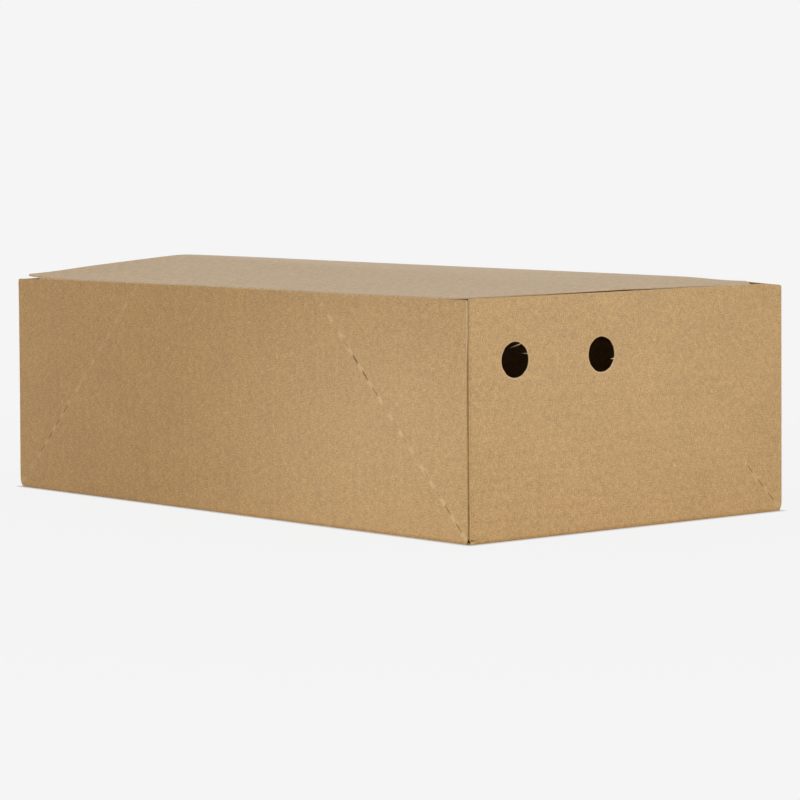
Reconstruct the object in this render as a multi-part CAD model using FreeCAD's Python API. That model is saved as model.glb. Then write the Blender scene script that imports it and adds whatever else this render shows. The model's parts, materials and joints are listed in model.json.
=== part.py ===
import FreeCAD, Part
import math
import os

# Fries box: one sheet of thin kraft board, folded and glued into a tray with a hinged lid.
# Millimetres, +X along the long side, front wall at -Y, base on Z = 0, lid hinged along the back.

# Sheet and outside sizes
board = 0.6
length = 230.0
width = 127.0
height = 70.0

# Folds and corners
fold_radius = 0.9
corner_round = 2.6
corner_gap = 2.0

# The wall tops slope down to the back corners
top_drop = 0.6
end_drop_run = 6.5
back_drop_run = 14.4

# Corner tabs, glued inside the outer walls
tab_width = 34.0
tab_top_gap = 3.0
tab_diagonal_gap = 3.0

# Perforated diagonals that let the empty box fold flat
slit_length = 4.0
slit_pitch = 6.5
slit_first = 6.6
slit_width = 0.3
front_slit_count = 14
end_slit_count = 3

# Vent holes in each end wall
vent_radius = 5.2
vent_below_top = 18.2
vent_from_front = 17.8
vent_spacing = 33.8

# Lid
lid_inset = 3.5
lid_front_gap = 0.3
lid_front_round = 2.0
lid_back_cut_x = 11.5
lid_back_cut_y = 9.2
hinge_gap = 0.2
hinge_side_gap = 0.6
shoulder_depth = 6.5
flap_depth = 22.0
flap_inset = 7.8
flap_lean = 8.0
flap_round = 14.0

# Heights of the lid's top face above the wall tops: it is sprung up at its left end and flat at its right
lid_flat = board / 2
lid_tip_lift = 1.4
lid_tip_run = 26.0
lid_ridge_lift = 6.05
lid_ridge_y = 0.0
lid_cut_lift = 2.96
lid_shoulder_lift = 2.69
lid_shoulder_right_lift = 1.36
lid_shoulder_right_x = 78.0

# How far a cutting shape runs past the faces that it cuts
overrun = 1.0

# Worked out from the sizes above
half_length = length / 2
half_width = width / 2
lid_end = half_length - lid_inset
lid_front = -half_width + 2 * board + lid_front_gap
hinge_y = half_width - board / 2
hinge_z = height
hinge_end = lid_end - lid_back_cut_x
back_cut_y = hinge_y - lid_back_cut_y
shoulder_y = hinge_y - shoulder_depth
shoulder_end = hinge_end + lid_back_cut_x * shoulder_depth / lid_back_cut_y


def vector(x, y, z):
    return FreeCAD.Vector(x, y, z)


def box(low, high):
    """Solid box between two corners."""
    size = [high[axis] - low[axis] for axis in range(3)]
    return Part.makeBox(size[0], size[1], size[2], vector(*low))


def mirrored_x(shape):
    return shape.mirror(vector(0, 0, 0), vector(1, 0, 0))


def plate(corners, place):
    """Flat board: corners are (u, v, radius), place turns (u, v) and a depth into a point."""
    edges = []
    joints = []
    count = len(corners)
    for index, (u, v, radius) in enumerate(corners):
        here = vector(u, v, 0)
        if radius == 0:
            joints.append((here, here))
            continue
        before = vector(*corners[index - 1][:2], 0).sub(here).normalize()
        after = vector(*corners[(index + 1) % count][:2], 0).sub(here).normalize()
        half_angle = before.getAngle(after) / 2
        reach = radius / math.tan(half_angle)
        start = here + before * reach
        end = here + after * reach
        middle = here + (before + after).normalize() * (radius / math.sin(half_angle) - radius)
        edges.append(Part.Arc(place(start, 0), place(middle, 0), place(end, 0)).toShape())
        joints.append((start, end))
    for index, (_, leave) in enumerate(joints):
        arrive = joints[(index + 1) % count][0]
        edges.append(Part.LineSegment(place(leave, 0), place(arrive, 0)).toShape())
    face = Part.Face(Part.Wire(Part.__sortEdges__(edges)))
    return face.extrude(place(vector(0, 0, 0), board) - place(vector(0, 0, 0), 0))


def folded_shell():
    """Base and four walls of one thickness, rounded where the base is creased."""
    outer = box((-half_length, -half_width, 0), (half_length, half_width, height))
    outer = outer.makeFillet(fold_radius, bottom_edges(outer))
    inner = box(
        (-half_length + board, -half_width + board, board),
        (half_length - board, half_width - board, height),
    )
    inner = inner.makeFillet(fold_radius - board, bottom_edges(inner))
    return outer.cut(inner)


def bottom_edges(solid):
    tolerance = 0.001
    floor = solid.BoundBox.ZMin
    return [edge for edge in solid.Edges if edge.BoundBox.ZMax < floor + tolerance]


def fold_groove(x_low, x_high, y_low, y_high, centre_x, centre_y):
    """Groove between a wall's cut edge and the rounded fold behind it."""
    block = box((x_low, y_low, -overrun), (x_high, y_high, height + overrun))
    centre = vector(centre_x, centre_y, -overrun)
    return block.cut(Part.makeCylinder(fold_radius, height + 2 * overrun, centre))


def corner_grooves():
    """Grooves at the two corners of the right-hand end."""
    radius = fold_radius
    front_y = -half_width + board
    front = fold_groove(
        half_length - radius, half_length + overrun,
        front_y, front_y + radius,
        half_length - radius, front_y + radius,
    )
    back_x = half_length - board
    back = fold_groove(
        back_x - radius, back_x,
        half_width - radius, half_width + overrun,
        back_x - radius, half_width - radius,
    )
    return [front, back]


def corner_rounds():
    """Rounds at the bottom corners of the right-hand end: front wall's, then end wall's."""
    size = corner_round
    depth = corner_gap + overrun
    front = box(
        (half_length - size, -half_width - overrun, -overrun),
        (half_length + overrun, -half_width + corner_gap, size),
    )
    front_centre = vector(half_length - size, -half_width - overrun, size)
    front = front.cut(Part.makeCylinder(size, depth, front_centre, vector(0, 1, 0)))
    back = box(
        (half_length - corner_gap, half_width - size, -overrun),
        (half_length + overrun, half_width + overrun, size),
    )
    back_centre = vector(half_length - corner_gap, half_width - size, size)
    back = back.cut(Part.makeCylinder(size, depth, back_centre, vector(1, 0, 0)))
    return [front, back]


def top_wedge(start, along, across, run):
    """Wedge off the top of a wall, from a start on its inner side and along it to past the corner."""
    reach = run + overrun
    end = start + along * reach
    up = vector(0, 0, overrun)
    points = [start, end - vector(0, 0, top_drop * reach / run), end + up, start + up]
    face = Part.Face(Part.makePolygon(points + points[:1]))
    return face.extrude(across * (2 * board + overrun))


def top_slopes():
    """Slopes of the right-hand end wall and of the back wall down to the back corner."""
    across_x = vector(1, 0, 0)
    across_y = vector(0, 1, 0)
    end_start = vector(half_length - 2 * board, half_width - end_drop_run, height)
    back_start = vector(half_length - back_drop_run, half_width - 2 * board, height)
    return [
        top_wedge(end_start, across_y, across_x, end_drop_run),
        top_wedge(back_start, across_x, across_y, back_drop_run),
    ]


def vents():
    """Two round holes through the right-hand end wall."""
    holes = []
    for number in range(2):
        y = -half_width + vent_from_front + number * vent_spacing
        centre = vector(half_length - 2 * board, y, height - vent_below_top)
        holes.append(Part.makeCylinder(vent_radius, 4 * board, centre, vector(1, 0, 0)))
    return holes


def slits(place, count):
    """Slits along the diagonal from a bottom corner: place turns (along wall, up, depth) into a point."""
    along = math.sqrt(0.5)
    cuts = []
    for number in range(count):
        middle = slit_first + number * slit_pitch
        ends = [middle - slit_length / 2, middle + slit_length / 2]
        half = slit_width / 2
        points = []
        for distance, side in ((ends[0], -half), (ends[1], -half), (ends[1], half), (ends[0], half)):
            points.append(place(along * (distance - side), along * (distance + side), -board))
        face = Part.Face(Part.makePolygon(points + points[:1]))
        cuts.append(face.extrude(place(0, 0, board) - place(0, 0, -board)))
    return cuts


def front_slits():
    return slits(
        lambda along, up, depth: vector(half_length - along, -half_width + depth, up),
        front_slit_count,
    )


def end_slits():
    return slits(
        lambda along, up, depth: vector(half_length - depth, half_width - along, up),
        end_slit_count,
    )


def tab_outline():
    """Glue tab, measured from its fold and up: it keeps clear of the diagonal."""
    low = tab_diagonal_gap
    return [
        (0, low, 0),
        (0, height - tab_top_gap, 0),
        (tab_width, height - tab_top_gap, 0),
        (tab_width, tab_width + low, 0),
    ]


def front_tab():
    """Right-hand end wall's tab, glued inside the front wall."""
    return plate(
        tab_outline(),
        lambda flat, depth: vector(
            half_length - fold_radius - flat.x, -half_width + board + depth, flat.y
        ),
    )


def back_tab():
    """Back wall's tab, glued inside the right-hand end wall."""
    return plate(
        tab_outline(),
        lambda flat, depth: vector(
            half_length - board - depth, half_width - fold_radius - flat.x, flat.y
        ),
    )


def hinge_notch():
    """Room for the lid's hinge crease along the top of the back wall."""
    half = hinge_end + hinge_side_gap
    floor = height - board / 2 - hinge_gap
    return box((-half, half_width - 2 * board, floor), (half, half_width + overrun, height + overrun))


def make_tray():
    shell = folded_shell()
    right_tabs = [front_tab(), back_tab()]
    shell = shell.fuse(right_tabs + [mirrored_x(tab) for tab in right_tabs])
    right_cuts = corner_grooves() + corner_rounds() + top_slopes() + vents()
    right_cuts += front_slits() + end_slits()
    cuts = right_cuts + [mirrored_x(cut) for cut in right_cuts] + [hinge_notch()]
    return shell.cut(cuts).removeSplitter()


def lid_panel():
    """Lid panel as flat facets, sprung up to a soft ridge at its left end."""
    top = {
        "front_tip": (-lid_end, lid_front, lid_tip_lift),
        "front_mid": (-lid_end + lid_tip_run, lid_front, lid_flat),
        "front_right": (lid_end, lid_front, lid_flat),
        "ridge_left": (-lid_end, lid_ridge_y, lid_ridge_lift),
        "ridge_right": (lid_end, lid_ridge_y, lid_flat),
        "cut_left": (-lid_end, back_cut_y, lid_cut_lift),
        "cut_right": (lid_end, back_cut_y, lid_flat),
        "shoulder_left": (-shoulder_end, shoulder_y, lid_shoulder_lift),
        "shoulder_mid": (lid_shoulder_right_x, shoulder_y, lid_shoulder_right_lift),
        "shoulder_right": (shoulder_end, shoulder_y, lid_flat),
        "crease_left": (-hinge_end, hinge_y, lid_flat),
        "crease_right": (hinge_end, hinge_y, lid_flat),
    }
    facets = [
        ("front_tip", "front_mid", "ridge_left"),
        ("front_mid", "front_right", "ridge_left"),
        ("front_right", "ridge_right", "ridge_left"),
        ("ridge_left", "ridge_right", "cut_right"),
        ("ridge_left", "cut_right", "shoulder_mid"),
        ("cut_right", "shoulder_right", "shoulder_mid"),
        ("ridge_left", "shoulder_mid", "shoulder_left"),
        ("ridge_left", "shoulder_left", "cut_left"),
        ("shoulder_left", "shoulder_mid", "crease_left"),
        ("shoulder_mid", "crease_right", "crease_left"),
        ("shoulder_mid", "shoulder_right", "crease_right"),
    ]
    rim = [
        "front_tip", "front_mid", "front_right", "ridge_right", "cut_right", "shoulder_right",
        "crease_right", "crease_left", "shoulder_left", "cut_left", "ridge_left",
    ]

    def point(name, drop):
        x, y, lift = top[name]
        return vector(x, y, height + lift - drop)

    faces = []
    for names in facets:
        for drop in (0, board):
            corners = [point(name, drop) for name in names]
            faces.append(Part.Face(Part.makePolygon(corners + corners[:1])))
    for here, there in zip(rim, rim[1:] + rim[:1]):
        corners = [point(here, 0), point(there, 0), point(there, board), point(here, board)]
        faces.append(Part.Face(Part.makePolygon(corners + corners[:1])))
    return Part.Solid(Part.makeShell(faces))


def hinge_bead():
    """Rounded edge of the lid at the hinge crease."""
    start = vector(-hinge_end, hinge_y, hinge_z)
    return Part.makeCylinder(board / 2, 2 * hinge_end, start, vector(1, 0, 0))


def lid_front_rounds():
    """Rounds at the front corners of the lid panel."""
    size = lid_front_round
    low = height - overrun - board
    high = height + lid_tip_lift + overrun
    right = box((lid_end - size, lid_front - overrun, low), (lid_end + overrun, lid_front + size, high))
    centre = vector(lid_end - size, lid_front + size, low)
    right = right.cut(Part.makeCylinder(size, high - low, centre))
    return [right, mirrored_x(right)]


def tuck_flap():
    """Flap that tucks inside the front wall, leaning in a little."""
    half = lid_end - flap_inset
    rise = (lid_tip_lift - lid_flat) * (1 - flap_inset / lid_tip_run)
    corners = [
        (-half, -flap_depth, flap_round),
        (half, -flap_depth, flap_round),
        (half, 0, 0),
        (-lid_end + lid_tip_run, 0, 0),
        (-half, rise, 0),
    ]
    flap = plate(corners, lambda flat, depth: vector(flat.x, lid_front + depth, height + flat.y))
    flap.rotate(vector(0, lid_front, height), vector(1, 0, 0), flap_lean)
    return flap


def make_lid():
    panel = lid_panel().cut(lid_front_rounds())
    return panel.fuse([hinge_bead(), tuck_flap()]).removeSplitter()


def main():
    os.makedirs("parts", exist_ok=True)
    for name, shape in (("tray", make_tray()), ("lid", make_lid())):
        solid = shape.Solids[0]
        solid.exportStep("parts/" + name + ".step")
        size = solid.BoundBox
        print(name, "solids", len(shape.Solids), "valid", solid.isValid())
        print("  volume", round(solid.Volume, 1))
        print("  size", round(size.XLength, 3), round(size.YLength, 3), round(size.ZLength, 3))


main()
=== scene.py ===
import json
import math
import random

import bpy
import numpy as np
from mathutils import Matrix, Vector
from mathutils.geometry import delaunay_2d_cdt


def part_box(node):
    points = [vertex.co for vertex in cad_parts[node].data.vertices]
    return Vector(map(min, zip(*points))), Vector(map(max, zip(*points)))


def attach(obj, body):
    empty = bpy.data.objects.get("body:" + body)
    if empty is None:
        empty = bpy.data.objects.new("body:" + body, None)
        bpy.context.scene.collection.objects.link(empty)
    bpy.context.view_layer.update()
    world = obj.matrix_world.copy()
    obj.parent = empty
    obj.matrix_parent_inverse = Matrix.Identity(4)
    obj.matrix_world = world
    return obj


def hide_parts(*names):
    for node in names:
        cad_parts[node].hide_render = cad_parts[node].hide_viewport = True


# A fries box of thin kraft board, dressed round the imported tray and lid. Each of the two is built as a flat
# die-cut blank, a sheet of triangles, which is then folded. Everything is in metres, in the CAD frame.

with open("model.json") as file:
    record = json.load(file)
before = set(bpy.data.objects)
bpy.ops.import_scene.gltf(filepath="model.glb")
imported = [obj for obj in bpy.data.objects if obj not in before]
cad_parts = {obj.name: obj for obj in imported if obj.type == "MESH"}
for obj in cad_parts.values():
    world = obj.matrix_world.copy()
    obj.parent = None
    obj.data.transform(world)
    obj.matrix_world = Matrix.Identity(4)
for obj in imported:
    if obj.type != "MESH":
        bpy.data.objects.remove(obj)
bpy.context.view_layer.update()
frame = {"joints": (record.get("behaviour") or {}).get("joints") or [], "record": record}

# Sizes taken from the frame
_, tray_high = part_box("tray")
_, lid_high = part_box("lid")
hinge = Vector(frame["joints"][0]["pos_m"])
openings = {opening["name"]: opening["box_m"] for opening in frame["record"]["physics"]["openings"]}
HALF_LENGTH = tray_high.x
HALF_WIDTH = tray_high.y
HEIGHT = tray_high.z
LID_END = lid_high.x

# Sheet and its folds. A fold's radius is that of the sheet's middle, and its run is the strip in the bend.
# WALL_TOP is how far the blank goes on past a corner line to a wall's top.
BOARD = 0.00045
RIGHT_ANGLE = math.pi / 2
FOLD = 0.0006
OUTER_FOLD = FOLD + BOARD / 2
FOLD_RUN = FOLD * RIGHT_ANGLE
FOLD_STEPS = 4
GUARD = 0.0003
WALL_TOP = HEIGHT - OUTER_FOLD + FOLD_RUN - OUTER_FOLD

# Folds of the glue tabs, which are tighter, and the gap that a tab leaves to its wall beside its fold
TAB_FOLD = 0.00008
TAB_OUTER_FOLD = TAB_FOLD + BOARD / 2
TAB_FOLD_RUN = TAB_FOLD * RIGHT_ANGLE
TAB_GAP = 0.0001
TAB_GAP_RUN = 0.008
TAB_GAP_CLOSED = 0.97
TAB_START = BOARD + TAB_GAP + TAB_OUTER_FOLD

# Corners: each wall's cut edge from its top down, as heights and how far it is set back, then the rounds of
# its foot, along the wall and up, those of its top, and the notch between its foot and the tab's fold
FRONT_RIGHT_EDGE = ((0.060, 0.0005), (0.050, 0.0009), (0.010, 0.0010))
FRONT_LEFT_EDGE = ((0.060, 0.0009), (0.030, 0.0005), (0.006, 0.0))
BACK_EDGE = ((0.060, 0.0), (0.006, 0.0))
RIGHT_FOOT = (0.0014, 0.0024)
LEFT_FOOT = (0.0024, 0.0032)
BACK_FOOT = (0.0024, 0.0026)
TOP_ROUND = 0.0006
LEFT_TOP_ROUND = 0.0010
NOTCH_BOTTOM = 0.0019
NOTCH_SIDE = 0.0001

# Glue tabs: heights of their ends on the wall, their slanting lower edge, up and out from its start, and
# where their top edge starts to rise to the wall's top
TAB_WIDTH = 0.034
TAB_LOW = 0.0008
TAB_TOP = 0.067
TAB_SLANT = ((0, 0), (0.0002, 0.0003), (0.0042, 0.0025), (TAB_WIDTH, TAB_WIDTH))
TAB_HEAD = 0.0012

# How far from the corners the rows of points start, along the tabs' folds and the long folds
TAB_LINE_START = 0.0008
FOLD_LINE_GAP = 0.0013

# Drops of the wall tops, as distances along the wall and down
FRONT_TOP = (
    (-0.1135, 0.0002), (-0.100, 0.0001), (-0.085, 0.0), (0.0, 0.0), (0.017, 0.0002), (0.040, 0.00025),
    (0.052, 0.00057), (0.063, 0.00078), (0.085, 0.00074), (0.102, 0.0008), (0.104, 0.00056),
    (0.1135, 0.00055),
)
RIGHT_END_TOP = ((-0.0615, 0.0002), (-0.0135, 0.00014), (0.030, 0.00003), (0.057, 0.0))
LEFT_END_TOP = ((-0.0615, 0.00035), (-0.055, 0.0003), (-0.040, 0.0001), (0.057, 0.0))
CORNER_DROP = 0.0006
BACK_DROP_RUN = 0.0144

# What differs between the right-hand (1) and left-hand (-1) half of the tray
HALVES = {
    1: (FRONT_RIGHT_EDGE, RIGHT_FOOT, TOP_ROUND, RIGHT_END_TOP),
    -1: (FRONT_LEFT_EDGE, LEFT_FOOT, LEFT_TOP_ROUND, LEFT_END_TOP),
}

# Perforated diagonals: their slits, with the widths of those that stand open, counted up from the foot
SLIT_LENGTH = 0.004
SLIT_PITCH = 0.0065
SLIT_FIRST = 0.0066
SLIT_CLOSED = 0.00006
SLIT_SHAPE = ((-1, 0), (-0.6, -0.8), (0, -1), (0.6, -0.8), (1, 0), (0.6, 0.8), (0, 1), (-0.6, 0.8))
OPEN_SLITS = {
    ("front", 1): {0: 0.0003, 1: 0.0003, 2: 0.00016, 8: 0.00026, 9: 0.0005, 10: 0.00055, 11: 0.00016},
    ("front", -1): {2: 0.0003, 3: 0.00038, 4: 0.00028, 5: 0.00035},
    ("end", 1): {0: 0.0003, 1: 0.0003, 2: 0.00028},
}
FRONT_SLITS = 14
END_SLITS = 3

# Scored length of each kind of diagonal, and the worn strips along it and along the ties between its slits
FRONT_SCORE = 0.0978
END_SCORE = 0.0229
SCORE_START = 0.0018
SCORE_HALF = 0.0009
TIE_HALF = 0.0005
TIE_MARGIN = 1.3
TIE_END = 0.0002
TIE_GRID = 0.0007

# Wear of the creases, the vents' rims and the perforation: more is lighter. The turned-in part of each glue
# tab's fold, over the given span of its run, also gets painted light that lifts the shade of the crevice
# behind the wall's cut edge
FOLD_WORN = 0.6
TAB_FOLD_WEAR_AND_LIGHT = 1.2
TAB_FOLD_LIGHTENED_SPAN = (0.4, 1.1)
RIM_WORN = 1.5
SCORE_WORN = 0.2
SLIT_WORN = 0.1
TIE_WORN = {("front", 1): 0.8}
TIE_WORN_ELSEWHERE = 0.5

# Vents: the board is pressed thin round the rim, and strands of fibre are left across it
VENT_RADIUS = 0.0052
VENT_POINTS = 72
VENT_SEED = 7
VENT_WAVES = (3, 7, 11, 15)
VENT_ROUGH = 0.00002
RIM_WIDTH = 0.0005
RIM_OUTER = 0.00017
RIM_INNER = 0.00002
STRAND_THICKNESS = 0.00004
STRAND_ROOT = 0.0002
STRAND_CLEAR = 0.02

# Strands left in each vent: angle of the root from the top towards the back, its width, and where the tip
# is, up and back from the vent's centre
STRANDS = {
    "vent_right_front": ((28, 0.00028, (0.0035, -0.0015)), (72, 0.00018, (0.0018, 0.0026))),
    "vent_right_back": ((106, 0.00036, (-0.0016, 0.0036)),),
    "vent_left_front": ((300, 0.0004, (0.0028, -0.0029)),),
    "vent_left_back": ((200, 0.0003, (-0.0030, -0.0012)),),
}

# Hinge crease: the tray's edge and the lid's edge are rounded noses, with rows of points behind them
HINGE_END = 0.1
HINGE_CLEAR = 0.0006
HINGE_SLOPE = 0.00005
HINGE_NOSE = 0.0002
HINGE_RISE = HINGE_NOSE * (1 - math.cos(math.radians(75)))
HINGE_TOP = HALF_WIDTH + WALL_TOP + HINGE_RISE
LID_NOSE = BOARD / 2
LID_TOP_W = -LID_NOSE * math.cos(math.radians(15))
LID_HINGE_WORN = 0.0002
NOSE_ROWS = (0.00003, 0.00008, 0.00014, 0.00021, 0.0006)
LID_NOSE_ROWS = NOSE_ROWS[:-1]
LID_HINGE_ROW = 0.0003

# Lid and its tuck flap
LID_SETBACK = 0.0015
LID_FRONT = -HALF_WIDTH + LID_SETBACK
BACK_CUT_W = 0.0092
LID_ROUND = 0.002
FLAP_DEPTH = 0.022
FLAP_HALF = 0.1037
FLAP_RELIEF = 0.0005
FLAP_LEAN = math.radians(8)
FLAP_ROUND = 0.014

# Worked out for the lid's blank: where the flap's fold starts, and where the flap ends
FLAP_TURN = RIGHT_ANGLE + FLAP_LEAN
LID_FOLD_Y = LID_FRONT + OUTER_FOLD
LID_FOLD_W = hinge.y - LID_FOLD_Y
FLAP_END_W = LID_FOLD_W + FOLD * FLAP_TURN + FLAP_DEPTH - OUTER_FOLD

# Heights of the lid's middle above the hinge line
FRONT_TIP = 0.0012
FRONT_TIP_FADE = 0.013
FRONT_SAG = 0.00045
FRONT_SAG_START = 0.0
FRONT_SAG_RUN = 0.065
FRONT_RISE = 0.0002
FRONT_RISE_START = 0.0985
FRONT_RISE_RUN = 0.013
RIDGE_Y = 0.00245
RIDGE_LEFT = 0.00598
RIDGE_RIGHT = 0.0003
RIDGE_SOFT = 0.0037
DISH = 0.00024
DISH_Y = -0.051
DISH_WIDTH = 0.010
SHOULDER_DEPTH = 0.0065
SHOULDER_SOFT = 0.002
SHOULDER_LEFT = 0.00249
SHOULDER_SLOPE = -0.0063
SHOULDER_FALL_X = 0.084
SHOULDER_FALL_SOFT = 0.005
SHOULDER_FALL = -0.062

# Mesh: the grid, rows of points beside the lid's ridge and shoulder, and limits for points that nearly meet
GRID = 0.003
RIDGE_ROWS = (-0.006, -0.0045, -0.003, -0.002, -0.001, 0, 0.001, 0.002, 0.003, 0.0045, 0.006)
SHOULDER_ROWS = (-0.003, -0.0015, 0, 0.0015, 0.003)
CLEARANCE = 0.0008
MERGE = 1e-6
NEAR = 1e-5
SLACK = 1e-6
TINY = 1e-12
SLOPE_STEP = 0.0002
SHARP_ANGLE = math.radians(40)

# Board: colours of its face, the lid, worn board and the cut edge, and how strong the grain is. The lid's
# colour is the same board made lighter and paler as a painted sheen, and the worn colour also serves as
# painted light on the glue tabs' folds
BOARD_COLOUR = (0.49, 0.276, 0.082)
LID_COLOUR_WITH_SHEEN = (0.56, 0.345, 0.115)
WORN_AND_LIT_COLOUR = (0.88, 0.65, 0.37)
EDGE_COLOUR = (0.66, 0.46, 0.25)
DARK_SHARES = (0.52, 0.48, 0.42)
LIGHT_SHARES = (1.48, 1.52, 1.58)
GRAIN = 1.35
EDGE_GRAIN = 0.4
LID_STREAKS = 0.85
WEAR_AND_LIGHT = 0.3
ROUGHNESS = 0.42
BUMP_STRENGTH = 0.25
BUMP_DISTANCE = 0.00006

# Layers of grain on the flat blank: scale, detail, stretch, turn and shift of a noise, and its weight
NOISE_ROUGHNESS = 0.6
SPECKS = (2800, 2, (1, 1), 0.0, 0.0)
FORMATION = (420, 3, (1, 1), 0.0, 3.1)
CLOUD = (60, 3, (1, 1), 0.0, 7.7)
FIBRES_LEFT = (1700, 2, (0.4, 1.5), 0.8, 1.3)
FIBRES_RIGHT = (1700, 2, (0.4, 1.5), -0.7, 5.9)
FIBRES_ACROSS = (1700, 2, (1.5, 0.4), 0.1, 9.2)
FINE_STREAKS = (700, 2, (1.0, 0.03), 0.0, 4.4)
LONG_STREAKS = (1500, 1, (1.5, 0.2), 0.0, 2.2)
LAYERS = (
    (SPECKS, 0.8), (FORMATION, 0.26), (CLOUD, 0.12),
    (FIBRES_LEFT, 0.34), (FIBRES_RIGHT, 0.34), (FIBRES_ACROSS, 0.4), (FINE_STREAKS, 0.1),
)

# Stage: shares of true shading that the floor keeps, each with where it starts and stops fading
BACKGROUND = 0.9131
HORIZON_LIGHT = 1.5
ZENITH_LIGHT = 0.13
FLOOR_COLOUR = 0.93
FLOOR_SIZE = 3.0
SHADOWS = ((0.8, 0.0002, 0.0024), (0.04, 0.0, 0.35))

# Colour of both lamps
LAMP_COLOUR = (1.0, 1.0, 0.87)

# Key lamp, a spot from the left of the view whose soft edge crosses the front wall
KEY_AZIMUTH = math.radians(-49)
KEY_ELEVATION = math.radians(5)
KEY_DISTANCE = 1.5
KEY_AIM = (0.112, -HALF_WIDTH, -0.009)
KEY_ANGLE = math.radians(7.8)
KEY_SIZE = 0.04
KEY_POWER = 20.5

# Side lamp, a second spot, past the right-hand end
SIDE_AZIMUTH = math.radians(129)
SIDE_ELEVATION = math.radians(1.5)
SIDE_DISTANCE = 1.5
SIDE_AIM = (HALF_LENGTH, -0.025, -0.020)
SIDE_ANGLE = math.radians(13.5)
SIDE_SIZE = 0.1
SIDE_POWER = 28.5

# Camera
CAMERA_AZIMUTH = math.radians(50.271)
CAMERA_ELEVATION = math.radians(4.433)
CAMERA_ROLL = math.radians(-0.559)
CAMERA_PLACE = (0.8217, -0.6759, 0.1140)
CAMERA_LENS = 149.6
SENSOR_WIDTH = 36
CLIP_START = 0.05
CLIP_END = 20


def add_object(name, data):
    """New object in the scene's own collection."""
    made = bpy.data.objects.new(name, data)
    bpy.context.scene.collection.objects.link(made)
    return made


def mirrored(points):
    return [(-u, v) for u, v in reversed(points)]


def arc(centre, radius, start, end, steps):
    """Points on an arc, angles in degrees."""
    points = []
    for step in range(steps + 1):
        angle = math.radians(start + (end - start) * step / steps)
        points.append((centre[0] + radius * math.cos(angle), centre[1] + radius * math.sin(angle)))
    return points


def up_to_blank(height):
    """Distance along a wall from the outer corner line, for a height above the table."""
    return height - 2 * OUTER_FOLD + FOLD_RUN


def smooth(value):
    """Smooth step from 0 to 1."""
    share = min(max(value, 0.0), 1.0)
    return share * share * (3 - 2 * share)


def soft_ramp(distance, softness):
    """A ramp from zero that starts with a rounded corner."""
    return (distance + math.sqrt(distance * distance + softness * softness)) / 2


def bend(distance, start, radius, angle=RIGHT_ANGLE):
    """Where a point of the sheet lands across a fold: how far out, how far up, and how far it has turned."""
    turned = min(max((distance - start) / radius, 0.0), angle)
    rest = max(distance - start - radius * angle, 0.0)
    reach = min(distance, start) + radius * math.sin(turned) + rest * math.cos(angle)
    rise = radius * (1 - math.cos(turned)) + rest * math.sin(angle)
    return reach, rise, turned


# ---------------------------------------------------------------- sheets of board


def inside(points, loop):
    """Which of the points lie inside a closed loop."""
    x = points[:, 0]
    y = points[:, 1]
    result = np.zeros(len(points), bool)
    for (ax, ay), (bx, by) in zip(loop, loop[1:] + loop[:1]):
        if ay == by:
            continue
        crosses = (ay > y) != (by > y)
        result ^= crosses & (x < ax + (y - ay) * (bx - ax) / (by - ay))
    return result


def clear_of(points, segments, distance):
    """Which of the points keep their distance from every segment."""
    result = np.ones(len(points), bool)
    for a, b in segments:
        a = np.array(a)
        along = np.array(b) - a
        share = np.clip((points - a) @ along / max(along @ along, TINY), 0, 1)
        gap = points - (a + share[:, None] * along)
        result &= (gap * gap).sum(1) > distance * distance
    return result


def loop_segments(loop):
    return list(zip(loop, loop[1:] + loop[:1]))


def divided(start, end, size):
    """Points along a line, no further apart than size."""
    length = math.dist(start, end)
    steps = max(1, math.ceil(length / size - SLACK))
    return [
        (start[0] + (end[0] - start[0]) * step / steps, start[1] + (end[1] - start[1]) * step / steps)
        for step in range(steps + 1)
    ]


def grid_points(outline, segments):
    """Points of an even grid inside the outline, clear of every edge that is kept."""
    low = np.min(np.array(outline), 0)
    high = np.max(np.array(outline), 0)
    columns = np.arange(math.floor(low[0] / GRID), math.ceil(high[0] / GRID) + 1) * GRID
    rows = np.arange(math.floor(low[1] / GRID), math.ceil(high[1] / GRID) + 1) * GRID
    grid = np.array([(u, v) for u in columns for v in rows])
    return grid[inside(grid, outline) & clear_of(grid, segments, CLEARANCE)]


def triangulate(outline, holes, lines, rings=()):
    """Triangles of a blank: lines and rings are kept as edges, and the rest is filled with a grid."""
    loops = [outline] + holes + list(rings)
    segments = [segment for loop in loops for segment in loop_segments(loop)]
    segments += [(line[0], line[-1]) for line in lines]
    points = []
    edges = []
    for chain, closed in [(loop, True) for loop in loops] + [(line, False) for line in lines]:
        first = len(points)
        points += chain
        edges += [(first + index, first + index + 1) for index in range(len(chain) - 1)]
        if closed:
            edges.append((len(points) - 1, first))
    points += [tuple(point) for point in grid_points(outline, segments)]
    found = delaunay_2d_cdt([Vector(point) for point in points], edges, [], 0, MERGE, False)
    flat = np.array([tuple(point) for point in found[0]])
    triangles = np.array(found[2])
    centres = flat[triangles].mean(1)
    kept = inside(centres, outline)
    for hole in holes:
        kept &= ~inside(centres, hole)
    return flat, triangles[kept]


def renumbered(blank):
    """The points that a blank's triangles use, and the triangles numbered to match."""
    flat, triangles = blank
    used = np.unique(triangles)
    order = {old: new for new, old in enumerate(used)}
    points = [tuple(flat[index]) for index in used]
    return points, [tuple(order[index] for index in triangle) for triangle in triangles]


def sheet_faces(triangles, count):
    """Faces of both sides of a sheet, then those of its cut edge, and how many the sides have."""
    faces = []
    sides = {}
    for a, b, c in triangles:
        faces.append((a, c, b))
        faces.append((a + count, b + count, c + count))
        for start, end in ((a, b), (b, c), (c, a)):
            if (end, start) in sides:
                del sides[(end, start)]
            else:
                sides[(start, end)] = True
    skin = len(faces)
    faces += [(start, end, end + count, start + count) for start, end in sides]
    return faces, skin


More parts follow.
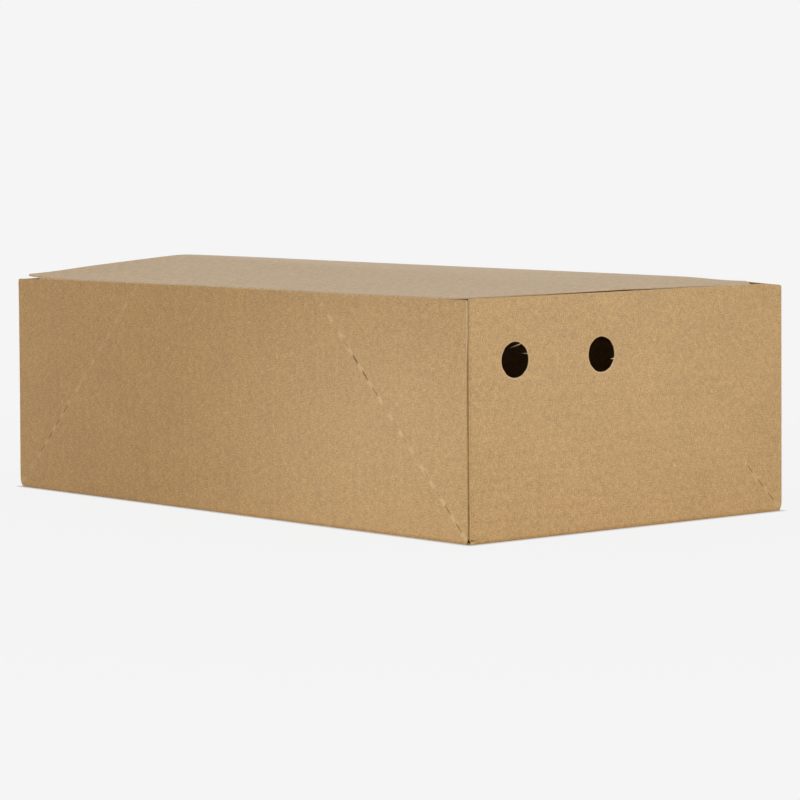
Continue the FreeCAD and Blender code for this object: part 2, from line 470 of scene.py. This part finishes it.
def sheet(name, blank, place, depths, crease):
    """Closed sheet of board: both faces, and a cut edge round every boundary. Depths are out and in from
    the sheet's middle."""
    flat, triangles = renumbered(blank)
    outer = []
    inner = []
    for u, v in flat:
        middle, normal = place(u, v)
        depth_out, depth_in = depths(u, v)
        outer.append(middle + normal * depth_out)
        inner.append(middle - normal * depth_in)
    count = len(flat)
    faces, skin = sheet_faces(triangles, count)
    mesh = bpy.data.meshes.new(name)
    mesh.from_pydata(outer + inner, [], faces)
    mesh.polygons.foreach_set("use_smooth", [True] * len(faces))
    mesh.polygons.foreach_set("material_index", [0] * skin + [1] * (len(faces) - skin))
    mesh.set_sharp_from_angle(angle=SHARP_ANGLE)
    uv = mesh.uv_layers.new(name="blank")
    for corner_loop in mesh.loops:
        uv.data[corner_loop.index].uv = flat[corner_loop.vertex_index % count]
    # Crease wear, plus painted light on the glue tabs' folds, carried to the board's colour
    worn = mesh.attributes.new("crease", "FLOAT", "POINT")
    shares = [crease(u, v) for u, v in flat]
    worn.data.foreach_set("value", shares + shares)
    mesh.validate()
    return add_object(name, mesh)


def fold_lines(start, radius, angle=RIGHT_ANGLE):
    """Offsets of the rows of points that a fold needs."""
    turns = [start + radius * angle * step / FOLD_STEPS for step in range(FOLD_STEPS + 1)]
    return [start - GUARD] + turns + [turns[-1] + GUARD]


# ---------------------------------------------------------------- tray


def corner(top, tab_top, edge, foot, rounding):
    """One corner of the tray's blank, from the top of the cut wall to the top of the wall with the tab.
    p is out from the tabbed wall's corner line, q out from the cut wall's, and top ends the cut wall."""
    p_low = up_to_blank(TAB_LOW)
    p_high = up_to_blank(TAB_TOP)
    fold_end = -TAB_START + TAB_FOLD_RUN
    foot_p, foot_q = foot
    low = edge[-1][1]
    points = arc((-edge[0][1] - rounding, top - rounding), rounding, 90, 0, 4)
    points += [(-setback, up_to_blank(height)) for height, setback in edge]
    for p, q in arc((-1, 1), 1, 0, -90, 8):
        points.append((-low + foot_p * p, -OUTER_FOLD + foot_q * q))
    points += [(-OUTER_FOLD, -NOTCH_BOTTOM), (-NOTCH_SIDE, -TAB_START)]
    points += [(p_low + up, fold_end + out) for up, out in TAB_SLANT]
    return points + [(p_high, fold_end + TAB_WIDTH), (p_high, TAB_HEAD), (tab_top, fold_end)]


def tray_half(side):
    """Right-hand (side 1) or left-hand (side -1) half of the tray's outline, from front to back."""
    top = HALF_WIDTH + WALL_TOP
    end_top = HALF_LENGTH + WALL_TOP
    front_top = [(side * x, drop) for x, drop in FRONT_TOP if side * x >= 0]
    front_top.sort()
    outline = [(x, -top + drop) for x, drop in front_top]
    edge, foot, rounding, end = HALVES[side]
    front = corner(WALL_TOP - front_top[-1][1], WALL_TOP - end[0][1], edge, foot, rounding)
    back = corner(WALL_TOP - CORNER_DROP, WALL_TOP - CORNER_DROP, BACK_EDGE, BACK_FOOT, TOP_ROUND)
    outline += [(HALF_LENGTH + p, -HALF_WIDTH - q) for p, q in front]
    outline += [(end_top - drop, y) for y, drop in end[1:]]
    outline += [(HALF_LENGTH + q, HALF_WIDTH + p) for p, q in back]
    hinge_half = HINGE_END + HINGE_CLEAR
    return outline + [
        (HALF_LENGTH - BACK_DROP_RUN, top),
        (hinge_half - HINGE_SLOPE, top),
        (hinge_half - HINGE_CLEAR, HINGE_TOP),
        (0.0, HINGE_TOP),
    ]


def tray_outline():
    right = tray_half(1)
    left = mirrored(tray_half(-1))
    rough = right[:-1] + left[:-1]
    outline = []
    for start, end in loop_segments(rough):
        outline += divided(start, end, GRID)[:-1]
    return outline


def vents():
    """Name and centre of each vent on the blank."""
    found = []
    for name, box in openings.items():
        if not name.startswith("vent"):
            continue
        low, high = box
        side = math.copysign(1, low[0] + high[0])
        centre_v = (low[1] + high[1]) / 2
        found.append((name, (side * (HALF_LENGTH + up_to_blank((low[2] + high[2]) / 2)), centre_v)))
    return found


VENTS = vents()


def vent_loop(name, centre, dice):
    """Edge of one vent hole, a little ragged, with strands of fibre left across it."""
    side = math.copysign(1, centre[0])
    phases = [dice.uniform(0, math.tau) for _ in VENT_WAVES]

    def rim(angle):
        rough = sum(math.sin(waves * angle + phase) for waves, phase in zip(VENT_WAVES, phases))
        radius = VENT_RADIUS + VENT_ROUGH * rough
        return centre[0] + side * radius * math.cos(angle), centre[1] + radius * math.sin(angle)

    points = {math.tau * step / VENT_POINTS: None for step in range(VENT_POINTS)}
    for angle, width, tip in STRANDS[name]:
        root = math.radians(angle)
        half = width / VENT_RADIUS / 2
        points = {at: place for at, place in points.items() if abs(at - root) > half + STRAND_CLEAR}
        points[root - half] = None
        points[root] = (centre[0] + side * tip[0], centre[1] + tip[1])
        points[root + half] = None
    return [points[at] or rim(at) for at in sorted(points)]


def vent_loops():
    dice = random.Random(VENT_SEED)
    return [vent_loop(name, centre, dice) for name, centre in VENTS]


def vent_rings():
    """Rings round the vents, where the pressed rim ends."""
    radius = VENT_RADIUS + RIM_WIDTH
    return [arc(centre, radius, 0, 360, VENT_POINTS // 2)[:-1] for _, centre in VENTS]


def on_diagonal(start, direction, along, across):
    """Point at distances along and across a diagonal from its start."""
    return (
        start[0] + direction[0] * along - direction[1] * across,
        start[1] + direction[1] * along + direction[0] * across,
    )


def slit_loop(start, direction, distance, width):
    """Lens-shaped slit on a diagonal, its middle at a distance from the start."""
    loop = []
    for along, share in SLIT_SHAPE:
        loop.append(on_diagonal(start, direction, distance + along * SLIT_LENGTH / 2, share * width / 2))
    return loop


def diagonals():
    """Each diagonal: its name, foot on the blank, direction, number of slits and scored length."""
    root = math.sqrt(0.5)
    foot = up_to_blank(0)
    for side in (1, -1):
        u = side * HALF_LENGTH
        yield ("front", side), (u, -HALF_WIDTH - foot), (-side * root, -root), FRONT_SLITS, FRONT_SCORE
        yield ("end", side), (u + side * foot, HALF_WIDTH), (side * root, -root), END_SLITS, END_SCORE


def slit_loops():
    loops = []
    for name, start, direction, count, _ in diagonals():
        widths = OPEN_SLITS.get(name, {})
        for number in range(count):
            distance = SLIT_FIRST + number * SLIT_PITCH
            loops.append(slit_loop(start, direction, distance, widths.get(number, SLIT_CLOSED)))
    return loops


def score_lines():
    """Lines beside each diagonal, where its wear ends, and along the ties between its slits."""
    lines = []
    half = (SLIT_PITCH - SLIT_LENGTH) / 2 - TIE_END
    for _, start, direction, count, length in diagonals():
        for across in (SCORE_HALF, -SCORE_HALF):
            ends = [on_diagonal(start, direction, along, across) for along in (SCORE_START, length)]
            lines.append(divided(ends[0], ends[1], GRID / 2))
        for number in range(count + 1):
            middle = SLIT_FIRST + (number - 0.5) * SLIT_PITCH
            low = max(middle - half, SCORE_START)
            high = length if number == count else middle + half
            for across in (TIE_HALF, 0, -TIE_HALF):
                ends = [on_diagonal(start, direction, along, across) for along in (low, high)]
                lines.append(divided(ends[0], ends[1], TIE_GRID))
    return lines


def tray_lines():
    """Rows of points along every fold of the tray."""
    lines = []
    wall_end = HALF_WIDTH + WALL_TOP - CORNER_DROP
    for side in (1, -1):
        for v in fold_lines(HALF_WIDTH - OUTER_FOLD, FOLD):
            half = HALF_LENGTH - FOLD_LINE_GAP
            lines.append(divided((-half, side * v), (half, side * v), GRID))
        for u in fold_lines(HALF_LENGTH - OUTER_FOLD, FOLD):
            lines.append(divided((side * u, -HALF_WIDTH), (side * u, HALF_WIDTH), GRID))
        for v in fold_lines(HALF_WIDTH - TAB_START, TAB_FOLD):
            start = (side * (HALF_LENGTH + TAB_LINE_START), -v)
            lines.append(divided(start, (side * (HALF_LENGTH + WALL_TOP), -v), GRID))
        for u in fold_lines(HALF_LENGTH - TAB_START, TAB_FOLD):
            start = (side * u, HALF_WIDTH + TAB_LINE_START)
            lines.append(divided(start, (side * u, wall_end), GRID))
    for row in NOSE_ROWS:
        v = HINGE_TOP - row
        lines.append(divided((-HINGE_END, v), (HINGE_END, v), GRID))
    return lines + score_lines()


def tab_gap(distance):
    """How far a glue tab stands off the wall it is glued to, at a distance from its fold."""
    return TAB_GAP * (1 - TAB_GAP_CLOSED * smooth((distance - TAB_FOLD_RUN) / TAB_GAP_RUN))


def tray_place(u, v):
    """Folds a point of the tray's blank: the middle of the sheet there, and its outward normal."""
    side = math.copysign(1, u)
    out_u = abs(u) - HALF_LENGTH
    out_v = abs(v) - HALF_WIDTH
    front = v < 0
    p, q = (out_u, out_v) if front else (out_v, out_u)
    in_cut_wall = p <= 0 and q > -OUTER_FOLD - GRID / 3
    if front and in_cut_wall or not front and not in_cut_wall:
        reach, rise, turn = bend(abs(v), HALF_WIDTH - OUTER_FOLD, FOLD)
        y = math.copysign(reach, v)
        point = Vector((u, y, BOARD / 2 + rise))
        normal = Vector((0, math.copysign(math.sin(turn), v), -math.cos(turn)))
        if not front and p > 0 and q > -TAB_START:
            reach, rise, turn = bend(abs(u), HALF_LENGTH - TAB_START, TAB_FOLD)
            point.x = side * (reach + TAB_GAP - tab_gap(q + TAB_START))
            point.y -= rise
            normal = Vector((side * math.sin(turn), math.cos(turn), 0))
        return point, normal
    reach, rise, turn = bend(abs(u), HALF_LENGTH - OUTER_FOLD, FOLD)
    point = Vector((side * reach, v, BOARD / 2 + rise))
    normal = Vector((side * math.sin(turn), 0, -math.cos(turn)))
    if front and p > 0 and q > -TAB_START:
        reach, rise, turn = bend(abs(v), HALF_WIDTH - TAB_START, TAB_FOLD)
        point.x -= side * rise
        point.y = -reach - TAB_GAP + tab_gap(q + TAB_START)
        normal = Vector((side * math.cos(turn), -math.sin(turn), 0))
    return point, normal


def nose(distance, radius):
    """Half thickness of a sheet that ends in a rounded edge, at a distance from its end."""
    if distance >= radius:
        return BOARD / 2
    return math.sqrt(max(radius * radius - (radius - distance) ** 2, 0))


def tray_depths(u, v):
    """Depths of the sheet out and in from its middle: less at the rounded hinge edge and at the vents."""
    for _, centre in VENTS:
        distance = math.dist((u, v), centre)
        if distance < VENT_RADIUS - STRAND_ROOT:
            return STRAND_THICKNESS, STRAND_THICKNESS
        if distance < VENT_RADIUS + RIM_WIDTH / 2:
            return RIM_OUTER, RIM_INNER
    end = HINGE_TOP - HINGE_RISE + HINGE_NOSE
    if v < end - 2 * HINGE_NOSE or abs(u) > HINGE_END + NEAR:
        return BOARD / 2, BOARD / 2
    half = nose(end - v, HINGE_NOSE)
    return half, half


def on_tab_fold(u, v):
    """Whether a point lies on the turned-in part of the fold between a wall and a corner tab, where the
    fold's shade gets painted light.
    """
    front = v < 0
    outward = abs(u) - HALF_LENGTH if front else abs(v) - HALF_WIDTH
    along = abs(v) - HALF_WIDTH if front else abs(u) - HALF_LENGTH
    low, high = TAB_FOLD_LIGHTENED_SPAN
    return outward > 0 and low * TAB_FOLD_RUN < along + TAB_START < high * TAB_FOLD_RUN


def diagonal_worn(u, v):
    """How much a point is worn by a tie, a slit or the score of a diagonal."""
    for name, start, direction, count, length in diagonals():
        du = u - start[0]
        dv = v - start[1]
        along = du * direction[0] + dv * direction[1]
        across = abs(du * direction[1] - dv * direction[0])
        if across > TIE_MARGIN * TIE_HALF or not SCORE_START - NEAR < along < length + NEAR:
            continue
        slit = round((along - SLIT_FIRST) / SLIT_PITCH)
        if slit >= count:
            return SCORE_WORN
        in_slit = abs(along - SLIT_FIRST - slit * SLIT_PITCH) < SLIT_LENGTH / 2 + NEAR
        return SLIT_WORN if in_slit else TIE_WORN.get(name, TIE_WORN_ELSEWHERE)
    return 0.0


def tray_crease(u, v):
    """How much a point of the tray is worn by a fold, a vent's rim or the perforation, and how much painted
    light lifts the shade on the glue tabs' turned-in folds.
    """
    out_u = (abs(u) - HALF_LENGTH + OUTER_FOLD) / FOLD_RUN
    out_v = (abs(v) - HALF_WIDTH + OUTER_FOLD) / FOLD_RUN
    if 0 < out_u < 1 and abs(v) < HALF_WIDTH:
        return FOLD_WORN * math.sin(math.pi * out_u)
    if 0 < out_v < 1 and abs(u) < HALF_LENGTH:
        return FOLD_WORN * math.sin(math.pi * out_v)
    for _, centre in VENTS:
        if math.dist((u, v), centre) < VENT_RADIUS + RIM_WIDTH / 2:
            return RIM_WORN
    # The glue tabs' turned-in folds get wear plus painted light over the shade of their crevice
    return TAB_FOLD_WEAR_AND_LIGHT if on_tab_fold(u, v) else diagonal_worn(u, v)


def make_tray():
    blank = triangulate(tray_outline(), vent_loops() + slit_loops(), tray_lines(), vent_rings())
    tray = sheet("tray_board", blank, tray_place, tray_depths, tray_crease)
    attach(tray, "tray")
    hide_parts("tray")
    return tray


# ---------------------------------------------------------------- lid


def lid_lift(x, y):
    """Height of the lid's middle above the hinge line: a soft ridge across it, highest at the left."""
    share = (LID_END - x) / (2 * LID_END)
    front = FRONT_TIP * math.exp(-(x + LID_END) / FRONT_TIP_FADE)
    front -= FRONT_SAG * smooth((x - FRONT_SAG_START) / FRONT_SAG_RUN)
    front += FRONT_RISE * smooth((x - FRONT_RISE_START) / FRONT_RISE_RUN)
    ridge = RIDGE_RIGHT + (RIDGE_LEFT - RIDGE_RIGHT) * share
    shoulder = SHOULDER_LEFT + SHOULDER_SLOPE * (x + LID_END)
    shoulder += SHOULDER_FALL * soft_ramp(x - SHOULDER_FALL_X, SHOULDER_FALL_SOFT)
    shoulder_y = hinge.y - SHOULDER_DEPTH
    rise = (ridge - front) / (RIDGE_Y - LID_FOLD_Y)
    fall = (shoulder - ridge) / (shoulder_y - RIDGE_Y)
    drop = -shoulder / SHOULDER_DEPTH

    def facets(at):
        lift = front + rise * (at - LID_FOLD_Y)
        lift += (fall - rise) * soft_ramp(at - RIDGE_Y, RIDGE_SOFT)
        return lift + (drop - fall) * soft_ramp(at - shoulder_y, SHOULDER_SOFT)

    dish = DISH * share * math.exp(-((y - DISH_Y) / DISH_WIDTH) ** 2)
    return facets(y) - facets(hinge.y) * (y - LID_FOLD_Y) / (hinge.y - LID_FOLD_Y) - dish


def lid_place(u, w):
    """Folds a point of the lid's blank, w back to front from the hinge."""
    beside_flap = abs(u) > FLAP_HALF + FLAP_RELIEF / 2
    y = hinge.y - w if beside_flap else hinge.y - min(w, LID_FOLD_W)
    slope_x = (lid_lift(u + SLOPE_STEP, y) - lid_lift(u - SLOPE_STEP, y)) / (2 * SLOPE_STEP)
    slope_y = (lid_lift(u, y + SLOPE_STEP) - lid_lift(u, y - SLOPE_STEP)) / (2 * SLOPE_STEP)
    if w <= LID_FOLD_W or beside_flap:
        normal = Vector((-slope_x, -slope_y, 1)).normalized()
        return Vector((u, y, hinge.z + lid_lift(u, y))), normal
    reach, fall, turn = bend(w, LID_FOLD_W, FOLD, FLAP_TURN)
    lift = lid_lift(u, LID_FOLD_Y)
    point = Vector((u, hinge.y - reach, hinge.z + lift - fall))
    normal = Vector((-slope_x * math.cos(turn), -math.sin(turn), math.cos(turn))).normalized()
    return point, normal


def lid_outline():
    """Outline of the lid's blank, its w measured from the hinge to the front and on down the flap."""
    front_w = hinge.y - LID_FRONT
    relief_w = LID_FOLD_W - GUARD
    relief_u = FLAP_HALF + FLAP_RELIEF
    right = [(0.0, LID_TOP_W), (HINGE_END, LID_TOP_W), (LID_END, BACK_CUT_W)]
    right += arc((LID_END - LID_ROUND, front_w - LID_ROUND), LID_ROUND, 0, 90, 6)
    right += [(relief_u, front_w), (relief_u, relief_w), (FLAP_HALF, relief_w)]
    right += arc((FLAP_HALF - FLAP_ROUND, FLAP_END_W - FLAP_ROUND), FLAP_ROUND, 0, 90, 14)
    right += [(0.0, FLAP_END_W)]
    rough = right[:-1] + mirrored(right)[:-1]
    outline = []
    for start, end in loop_segments(rough):
        outline += divided(start, end, GRID)[:-1]
    return outline


def lid_half(w):
    """Half length of the lid at a distance from the hinge."""
    if w > LID_FOLD_W - GUARD:
        return FLAP_HALF
    return min(LID_END, HINGE_END + (LID_END - HINGE_END) * (w - LID_TOP_W) / (BACK_CUT_W - LID_TOP_W))


def lid_lines():
    """Rows of points along the lid's fold, ridge, shoulder and hinge edge."""
    rows = fold_lines(LID_FOLD_W, FOLD, FLAP_TURN)[1:]
    rows += [hinge.y - RIDGE_Y - offset for offset in RIDGE_ROWS]
    rows += [SHOULDER_DEPTH + offset for offset in SHOULDER_ROWS]
    rows += [LID_TOP_W + row for row in LID_NOSE_ROWS]
    rows.append(LID_HINGE_ROW)
    lines = []
    for w in rows:
        half = lid_half(w)
        lines.append(divided((-half, w), (half, w), GRID))
    return lines


def lid_depths(u, w):
    """Depths of the sheet out and in from its middle: less at the rounded hinge edge."""
    half = nose(w + LID_NOSE, LID_NOSE)
    return half, half


def lid_crease(u, w):
    """How much a point of the lid is worn by the flap's fold or the hinge."""
    across = (w - LID_FOLD_W) / (FOLD * FLAP_TURN)
    if 0 < across < 1 and abs(u) < FLAP_HALF + FLAP_RELIEF / 2:
        return FOLD_WORN * math.sin(math.pi * across)
    return FOLD_WORN if w < LID_HINGE_WORN else 0.0


def make_lid():
    blank = triangulate(lid_outline(), [], lid_lines())
    lid = sheet("lid_board", blank, lid_place, lid_depths, lid_crease)
    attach(lid, "lid")
    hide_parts("lid")
    return lid


# ---------------------------------------------------------------- materials


def new_material(name):
    material = bpy.data.materials.new(name)
    material.use_nodes = True
    material.node_tree.nodes.clear()
    return material, material.node_tree.nodes, material.node_tree.links


def add_node(nodes, kind, **settings):
    node = nodes.new(kind)
    for key, value in settings.items():
        setattr(node, key, value)
    return node


def add_math(nodes, links, operation, *values):
    """Result of a Math node: each value is a number to set or an output to link."""
    step = add_node(nodes, "ShaderNodeMath", operation=operation)
    for socket, value in zip(step.inputs, values):
        if isinstance(value, (int, float)):
            socket.default_value = value
        else:
            links.new(value, socket)
    return step.outputs[0]


def add_noise(nodes, links, place, layer):
    """One layer of noise on the flat blank."""
    scale, detail, stretch, turn, shift = layer
    mapping = add_node(nodes, "ShaderNodeMapping")
    mapping.inputs["Location"].default_value = (shift, 2 * shift, 0)
    mapping.inputs["Rotation"].default_value = (0, 0, turn)
    mapping.inputs["Scale"].default_value = (*stretch, 1)
    links.new(place.outputs["UV"], mapping.inputs["Vector"])
    texture = add_node(nodes, "ShaderNodeTexNoise", noise_dimensions="2D")
    texture.inputs["Scale"].default_value = scale
    texture.inputs["Detail"].default_value = detail
    texture.inputs["Roughness"].default_value = NOISE_ROUGHNESS
    links.new(mapping.outputs["Vector"], texture.inputs["Vector"])
    return texture.outputs["Fac"]


def add_grain(nodes, links, contrast, long_streaks):
    """The board's tone about 0.5: the sum of the layers, each centred on zero and weighted."""
    place = add_node(nodes, "ShaderNodeUVMap", uv_map="blank")
    total = None
    for layer, weight in LAYERS + ((LONG_STREAKS, long_streaks),):
        strength = weight * contrast
        noise = add_noise(nodes, links, place, layer)
        centred = add_math(nodes, links, "MULTIPLY_ADD", noise, strength, -0.5 * strength)
        total = centred if total is None else add_math(nodes, links, "ADD", total, centred)
    return add_math(nodes, links, "ADD", total, 0.5)


def add_board_colour(nodes, links, tone, base):
    """Colour from dark to light round the base colour, and lighter where the board is worn, and where light
    is painted on the glue tabs' folds.
    """
    ramp = add_node(nodes, "ShaderNodeValToRGB")
    for element, shares in zip(ramp.color_ramp.elements, (DARK_SHARES, LIGHT_SHARES)):
        element.color = (base[0] * shares[0], base[1] * shares[1], base[2] * shares[2], 1)
    links.new(tone, ramp.inputs["Fac"])
    # Creases are worn lighter; on the glue tabs' folds the lighter colour is also painted light over their
    # shade
    crease = add_node(nodes, "ShaderNodeAttribute", attribute_name="crease")
    colour = add_node(nodes, "ShaderNodeMix", data_type="RGBA")
    colour.inputs["B"].default_value = (*WORN_AND_LIT_COLOUR, 1)
    links.new(add_math(nodes, links, "MULTIPLY", crease.outputs["Fac"], WEAR_AND_LIGHT), colour.inputs["Factor"])
    links.new(ramp.outputs["Color"], colour.inputs["A"])
    return colour.outputs["Result"]


def kraft(name, base, contrast, long_streaks=0.0):
    """Kraft board: cloudy formation, fibres, specks, and lighter worn creases, with painted light on the glue
    tabs' folds.
    """
    material, nodes, links = new_material(name)
    output = add_node(nodes, "ShaderNodeOutputMaterial")
    shader = add_node(nodes, "ShaderNodeBsdfPrincipled")
    shader.inputs["Roughness"].default_value = ROUGHNESS
    links.new(shader.outputs["BSDF"], output.inputs["Surface"])
    tone = add_grain(nodes, links, contrast, long_streaks)
    links.new(add_board_colour(nodes, links, tone, base), shader.inputs["Base Color"])
    bump = add_node(nodes, "ShaderNodeBump")
    bump.inputs["Strength"].default_value = BUMP_STRENGTH
    bump.inputs["Distance"].default_value = BUMP_DISTANCE
    links.new(tone, bump.inputs["Height"])
    links.new(bump.outputs["Normal"], shader.inputs["Normal"])
    return material


def dress(piece, board, cut_edge):
    piece.data.materials.append(board)
    piece.data.materials.append(cut_edge)


# ---------------------------------------------------------------- stage, light and camera


def seen_share(nodes, links):
    """1 for camera, glossy and transmission rays, else 0."""
    path = add_node(nodes, "ShaderNodeLightPath")
    total = path.outputs["Is Camera Ray"]
    for name in ("Is Glossy Ray", "Is Transmission Ray"):
        total = add_math(nodes, links, "MAXIMUM", total, path.outputs[name])
    return total


def add_fade(nodes, links, value, ends, levels, kind):
    """A level that goes from the first to the second as a value runs between two ends."""
    fade = add_node(nodes, "ShaderNodeMapRange", interpolation_type=kind)
    for name, number in zip(("From Min", "From Max", "To Min", "To Max"), ends + levels):
        fade.inputs[name].default_value = number
    links.new(value, fade.inputs["Value"])
    return fade.outputs[0]


def add_white(nodes, kind, strength):
    """Even white light from a background or an emission node."""
    white = add_node(nodes, kind)
    white.inputs["Color"].default_value = (1, 1, 1, 1)
    white.inputs["Strength"].default_value = strength
    return white


def mix_surfaces(nodes, links, output, share, first, second):
    """Hands the output a mix of two surfaces, where share is the second's."""
    mix = add_node(nodes, "ShaderNodeMixShader")
    links.new(share, mix.inputs["Fac"])
    links.new(first.outputs[0], mix.inputs[1])
    links.new(second.outputs[0], mix.inputs[2])
    links.new(mix.outputs[0], output.inputs["Surface"])


def make_world():
    """Even backdrop to the camera and to reflections, and soft light that is brighter at the horizon."""
    world = bpy.data.worlds.new("studio")
    bpy.context.scene.world = world
    world.use_nodes = True
    nodes = world.node_tree.nodes
    links = world.node_tree.links
    nodes.clear()
    output = add_node(nodes, "ShaderNodeOutputWorld")
    place = add_node(nodes, "ShaderNodeTexCoord")
    split = add_node(nodes, "ShaderNodeSeparateXYZ")
    links.new(place.outputs["Generated"], split.inputs[0])
    glow = add_fade(nodes, links, split.outputs["Z"], (0.0, 1.0), (HORIZON_LIGHT, ZENITH_LIGHT), "LINEAR")
    light = add_white(nodes, "ShaderNodeBackground", HORIZON_LIGHT)
    links.new(glow, light.inputs["Strength"])
    backdrop = add_white(nodes, "ShaderNodeBackground", BACKGROUND)
    mix_surfaces(nodes, links, output, seen_share(nodes, links), light, backdrop)


def floor_distance(nodes, links):
    """Distance on the floor from the box's footprint."""
    place = add_node(nodes, "ShaderNodeTexCoord")
    total = place.outputs["Object"]
    steps = (("ABSOLUTE", None), ("SUBTRACT", (HALF_LENGTH, HALF_WIDTH, 0)), ("MAXIMUM", (0, 0, 0)))
    for operation, value in steps:
        step = add_node(nodes, "ShaderNodeVectorMath", operation=operation)
        links.new(total, step.inputs[0])
        if value:
            step.inputs[1].default_value = value
        total = step.outputs[0]
    length = add_node(nodes, "ShaderNodeVectorMath", operation="LENGTH")
    links.new(total, length.inputs[0])
    return length.outputs["Value"]


def floor_shadow(nodes, links):
    """Share of its true shading that the floor keeps: most at the box's foot, and a little further out."""
    distance = floor_distance(nodes, links)
    shadow = None
    for share, start, end in SHADOWS:
        fade = add_fade(nodes, links, distance, (start, end), (share, 0.0), "SMOOTHSTEP")
        shadow = fade if shadow is None else add_math(nodes, links, "ADD", shadow, fade)
    return shadow


def floor_material():
    """Pale paper that reads as the backdrop, but keeps the box's shadow near it."""
    material, nodes, links = new_material("floor")
    output = add_node(nodes, "ShaderNodeOutputMaterial")
    paper = add_node(nodes, "ShaderNodeBsdfDiffuse")
    paper.inputs["Color"].default_value = (FLOOR_COLOUR, FLOOR_COLOUR, FLOOR_COLOUR, 1)
    glow = add_white(nodes, "ShaderNodeEmission", BACKGROUND)
    rest = add_math(nodes, links, "SUBTRACT", 1.0, floor_shadow(nodes, links))
    share = add_math(nodes, links, "MULTIPLY", rest, seen_share(nodes, links))
    mix_surfaces(nodes, links, output, share, paper, glow)
    return material


def make_floor():
    size = FLOOR_SIZE
    mesh = bpy.data.meshes.new("floor")
    corners = [(-size, -size, 0), (size, -size, 0), (size, size, 0), (-size, size, 0)]
    mesh.from_pydata(corners, [], [(0, 1, 2, 3)])
    floor = add_object("floor", mesh)
    mesh.materials.append(floor_material())


def place_lamp(data, aim, azimuth, elevation, distance):
    """Puts a lamp at a bearing and a distance from where it is aimed."""
    lamp = add_object(data.name, data)
    flat = math.cos(elevation)
    away = Vector((math.sin(azimuth) * flat, -math.cos(azimuth) * flat, math.sin(elevation)))
    lamp.location = Vector(aim) + away * distance
    lamp.rotation_mode = "QUATERNION"
    lamp.rotation_quaternion = (-away).to_track_quat("-Z", "Y")


def add_spot(name, power, angle, size):
    """A spot that fades from its middle to its rim."""
    data = bpy.data.lights.new(name, "SPOT")
    data.energy = power
    data.color = LAMP_COLOUR
    data.spot_size = angle
    data.spot_blend = 1.0
    data.shadow_soft_size = size
    return data


def make_lights():
    key = add_spot("key", KEY_POWER, KEY_ANGLE, KEY_SIZE)
    place_lamp(key, KEY_AIM, KEY_AZIMUTH, KEY_ELEVATION, KEY_DISTANCE)
    side = add_spot("side", SIDE_POWER, SIDE_ANGLE, SIDE_SIZE)
    place_lamp(side, SIDE_AIM, SIDE_AZIMUTH, SIDE_ELEVATION, SIDE_DISTANCE)


def make_camera():
    """Camera at its place, looking along its bearing, with a little roll."""
    data = bpy.data.cameras.new("camera")
    data.sensor_width = SENSOR_WIDTH
    data.lens = CAMERA_LENS
    data.clip_start = CLIP_START
    data.clip_end = CLIP_END
    camera = add_object("camera", data)
    a = CAMERA_AZIMUTH
    e = CAMERA_ELEVATION
    back = Vector((math.sin(a) * math.cos(e), -math.cos(a) * math.cos(e), math.sin(e)))
    right = Vector((math.cos(a), math.sin(a), 0))
    up = back.cross(right)
    turned_right = right * math.cos(CAMERA_ROLL) + up * math.sin(CAMERA_ROLL)
    turned_up = up * math.cos(CAMERA_ROLL) - right * math.sin(CAMERA_ROLL)
    turn = Matrix((turned_right, turned_up, back)).transposed().to_4x4()
    camera.matrix_world = Matrix.Translation(CAMERA_PLACE) @ turn
    bpy.context.scene.camera = camera


make_camera()
make_world()
make_lights()
make_floor()
board = kraft("kraft_board", BOARD_COLOUR, GRAIN)
cut_edge = kraft("kraft_cut_edge", EDGE_COLOUR, EDGE_GRAIN)
dress(make_tray(), board, cut_edge)
# The lid's board gets a lighter, paler colour than the walls': a painted sheen of its top seen at a grazing
# angle
dress(make_lid(), kraft("kraft_lid", LID_COLOUR_WITH_SHEEN, GRAIN, LID_STREAKS), cut_edge)
bpy.context.scene.view_settings.view_transform = "Standard"
